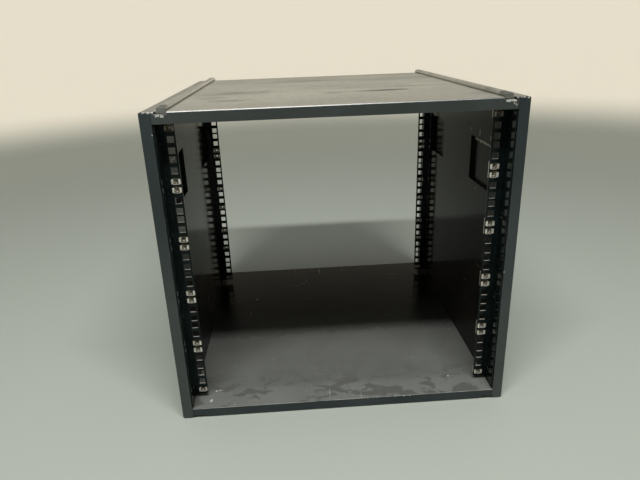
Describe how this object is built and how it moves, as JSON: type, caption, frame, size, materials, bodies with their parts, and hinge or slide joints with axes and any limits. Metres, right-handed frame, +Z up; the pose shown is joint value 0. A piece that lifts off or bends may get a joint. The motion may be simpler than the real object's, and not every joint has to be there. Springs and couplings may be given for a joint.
{
  "type": "network server rack cabinet",
  "caption": "Open, doorless ten-unit rack cabinet of double-skinned steel with four square-hole rails, cage nuts, and ribs and grooves for stacking.",
  "frame": {"origin": "on the ground at the middle of the footprint", "axes": "+X to the right seen from the front, +Y from the front to the back, +Z up"},
  "size_m": [0.5284, 0.544, 0.4959],
  "materials": {
    "cabinet_paint": "satin anthracite paint, worn to bare metal at the top front corners and dusty on top",
    "inner_paint": "glossy black-grey paint with faint scratches",
    "floor_paint": "satin dark grey paint, dusty, scratched and smudged",
    "rail_paint": "glossy black paint",
    "cage_steel": "yellowed zinc plate on spring steel",
    "nut_zinc": "yellowed zinc plate, dark thread"
  },
  "bodies": {
    "cabinet": {"roof_shell": "cabinet_paint", "roof_liner": "inner_paint", "base_shell": "cabinet_paint", "floor_liner": "floor_paint", "side_shell_left": "cabinet_paint", "side_liner_left": "inner_paint", "stacking_rib_left": "cabinet_paint", "rail_front_left": "rail_paint", "rail_screws_front_left": "rail_paint", "rail_back_left": "rail_paint", "rail_screws_back_left": "rail_paint", "cage_left_01": "cage_steel", "cage_left_06": "cage_steel", "cage_left_07": "cage_steel", "cage_left_12": "cage_steel", "cage_left_13": "cage_steel", "cage_left_18": "cage_steel", "cage_left_19": "cage_steel", "cage_left_24": "cage_steel", "cage_left_25": "cage_steel", "cage_left_30": "cage_steel", "side_shell_right": "cabinet_paint", "side_liner_right": "inner_paint", "stacking_rib_right": "cabinet_paint", "rail_front_right": "rail_paint", "rail_screws_front_right": "rail_paint", "rail_back_right": "rail_paint", "rail_screws_back_right": "rail_paint", "cage_right_01": "cage_steel", "cage_right_06": "cage_steel", "cage_right_07": "cage_steel", "cage_right_12": "cage_steel", "cage_right_13": "cage_steel", "cage_right_18": "cage_steel", "cage_right_19": "cage_steel", "cage_right_24": "cage_steel", "cage_right_25": "cage_steel", "cage_right_30": "cage_steel"},
    "floating_nut_left_01": {"nut_left_01": "nut_zinc"},
    "floating_nut_left_06": {"nut_left_06": "nut_zinc"},
    "floating_nut_left_07": {"nut_left_07": "nut_zinc"},
    "floating_nut_left_12": {"nut_left_12": "nut_zinc"},
    "floating_nut_left_13": {"nut_left_13": "nut_zinc"},
    "floating_nut_left_18": {"nut_left_18": "nut_zinc"},
    "floating_nut_left_19": {"nut_left_19": "nut_zinc"},
    "floating_nut_left_24": {"nut_left_24": "nut_zinc"},
    "floating_nut_left_25": {"nut_left_25": "nut_zinc"},
    "floating_nut_left_30": {"nut_left_30": "nut_zinc"},
    "floating_nut_right_01": {"nut_right_01": "nut_zinc"},
    "floating_nut_right_06": {"nut_right_06": "nut_zinc"},
    "floating_nut_right_07": {"nut_right_07": "nut_zinc"},
    "floating_nut_right_12": {"nut_right_12": "nut_zinc"},
    "floating_nut_right_13": {"nut_right_13": "nut_zinc"},
    "floating_nut_right_18": {"nut_right_18": "nut_zinc"},
    "floating_nut_right_19": {"nut_right_19": "nut_zinc"},
    "floating_nut_right_24": {"nut_right_24": "nut_zinc"},
    "floating_nut_right_25": {"nut_right_25": "nut_zinc"},
    "floating_nut_right_30": {"nut_right_30": "nut_zinc"}
  },
  "joints": [
    {"name": "nut_float_left_01", "type": "slide", "parent": "cabinet", "child": "floating_nut_left_01", "axis": [0, 0, 1], "range_m": [0, 0.0008]},
    {"name": "nut_float_left_06", "type": "slide", "parent": "cabinet", "child": "floating_nut_left_06", "axis": [0, 0, 1], "range_m": [0, 0.0008]},
    {"name": "nut_float_left_07", "type": "slide", "parent": "cabinet", "child": "floating_nut_left_07", "axis": [0, 0, 1], "range_m": [0, 0.0008]},
    {"name": "nut_float_left_12", "type": "slide", "parent": "cabinet", "child": "floating_nut_left_12", "axis": [0, 0, 1], "range_m": [0, 0.0008]},
    {"name": "nut_float_left_13", "type": "slide", "parent": "cabinet", "child": "floating_nut_left_13", "axis": [0, 0, 1], "range_m": [0, 0.0008]},
    {"name": "nut_float_left_18", "type": "slide", "parent": "cabinet", "child": "floating_nut_left_18", "axis": [0, 0, 1], "range_m": [0, 0.0008]},
    {"name": "nut_float_left_19", "type": "slide", "parent": "cabinet", "child": "floating_nut_left_19", "axis": [0, 0, 1], "range_m": [0, 0.0008]},
    {"name": "nut_float_left_24", "type": "slide", "parent": "cabinet", "child": "floating_nut_left_24", "axis": [0, 0, 1], "range_m": [0, 0.0008]},
    {"name": "nut_float_left_25", "type": "slide", "parent": "cabinet", "child": "floating_nut_left_25", "axis": [0, 0, 1], "range_m": [0, 0.0008]},
    {"name": "nut_float_left_30", "type": "slide", "parent": "cabinet", "child": "floating_nut_left_30", "axis": [0, 0, 1], "range_m": [0, 0.0008]},
    {"name": "nut_float_right_01", "type": "slide", "parent": "cabinet", "child": "floating_nut_right_01", "axis": [0, 0, 1], "range_m": [0, 0.0008]},
    {"name": "nut_float_right_06", "type": "slide", "parent": "cabinet", "child": "floating_nut_right_06", "axis": [0, 0, 1], "range_m": [0, 0.0008]},
    {"name": "nut_float_right_07", "type": "slide", "parent": "cabinet", "child": "floating_nut_right_07", "axis": [0, 0, 1], "range_m": [0, 0.0008]},
    {"name": "nut_float_right_12", "type": "slide", "parent": "cabinet", "child": "floating_nut_right_12", "axis": [0, 0, 1], "range_m": [0, 0.0008]},
    {"name": "nut_float_right_13", "type": "slide", "parent": "cabinet", "child": "floating_nut_right_13", "axis": [0, 0, 1], "range_m": [0, 0.0008]},
    {"name": "nut_float_right_18", "type": "slide", "parent": "cabinet", "child": "floating_nut_right_18", "axis": [0, 0, 1], "range_m": [0, 0.0008]},
    {"name": "nut_float_right_19", "type": "slide", "parent": "cabinet", "child": "floating_nut_right_19", "axis": [0, 0, 1], "range_m": [0, 0.0008]},
    {"name": "nut_float_right_24", "type": "slide", "parent": "cabinet", "child": "floating_nut_right_24", "axis": [0, 0, 1], "range_m": [0, 0.0008]},
    {"name": "nut_float_right_25", "type": "slide", "parent": "cabinet", "child": "floating_nut_right_25", "axis": [0, 0, 1], "range_m": [0, 0.0008]},
    {"name": "nut_float_right_30", "type": "slide", "parent": "cabinet", "child": "floating_nut_right_30", "axis": [0, 0, 1], "range_m": [0, 0.0008]}
  ]
}
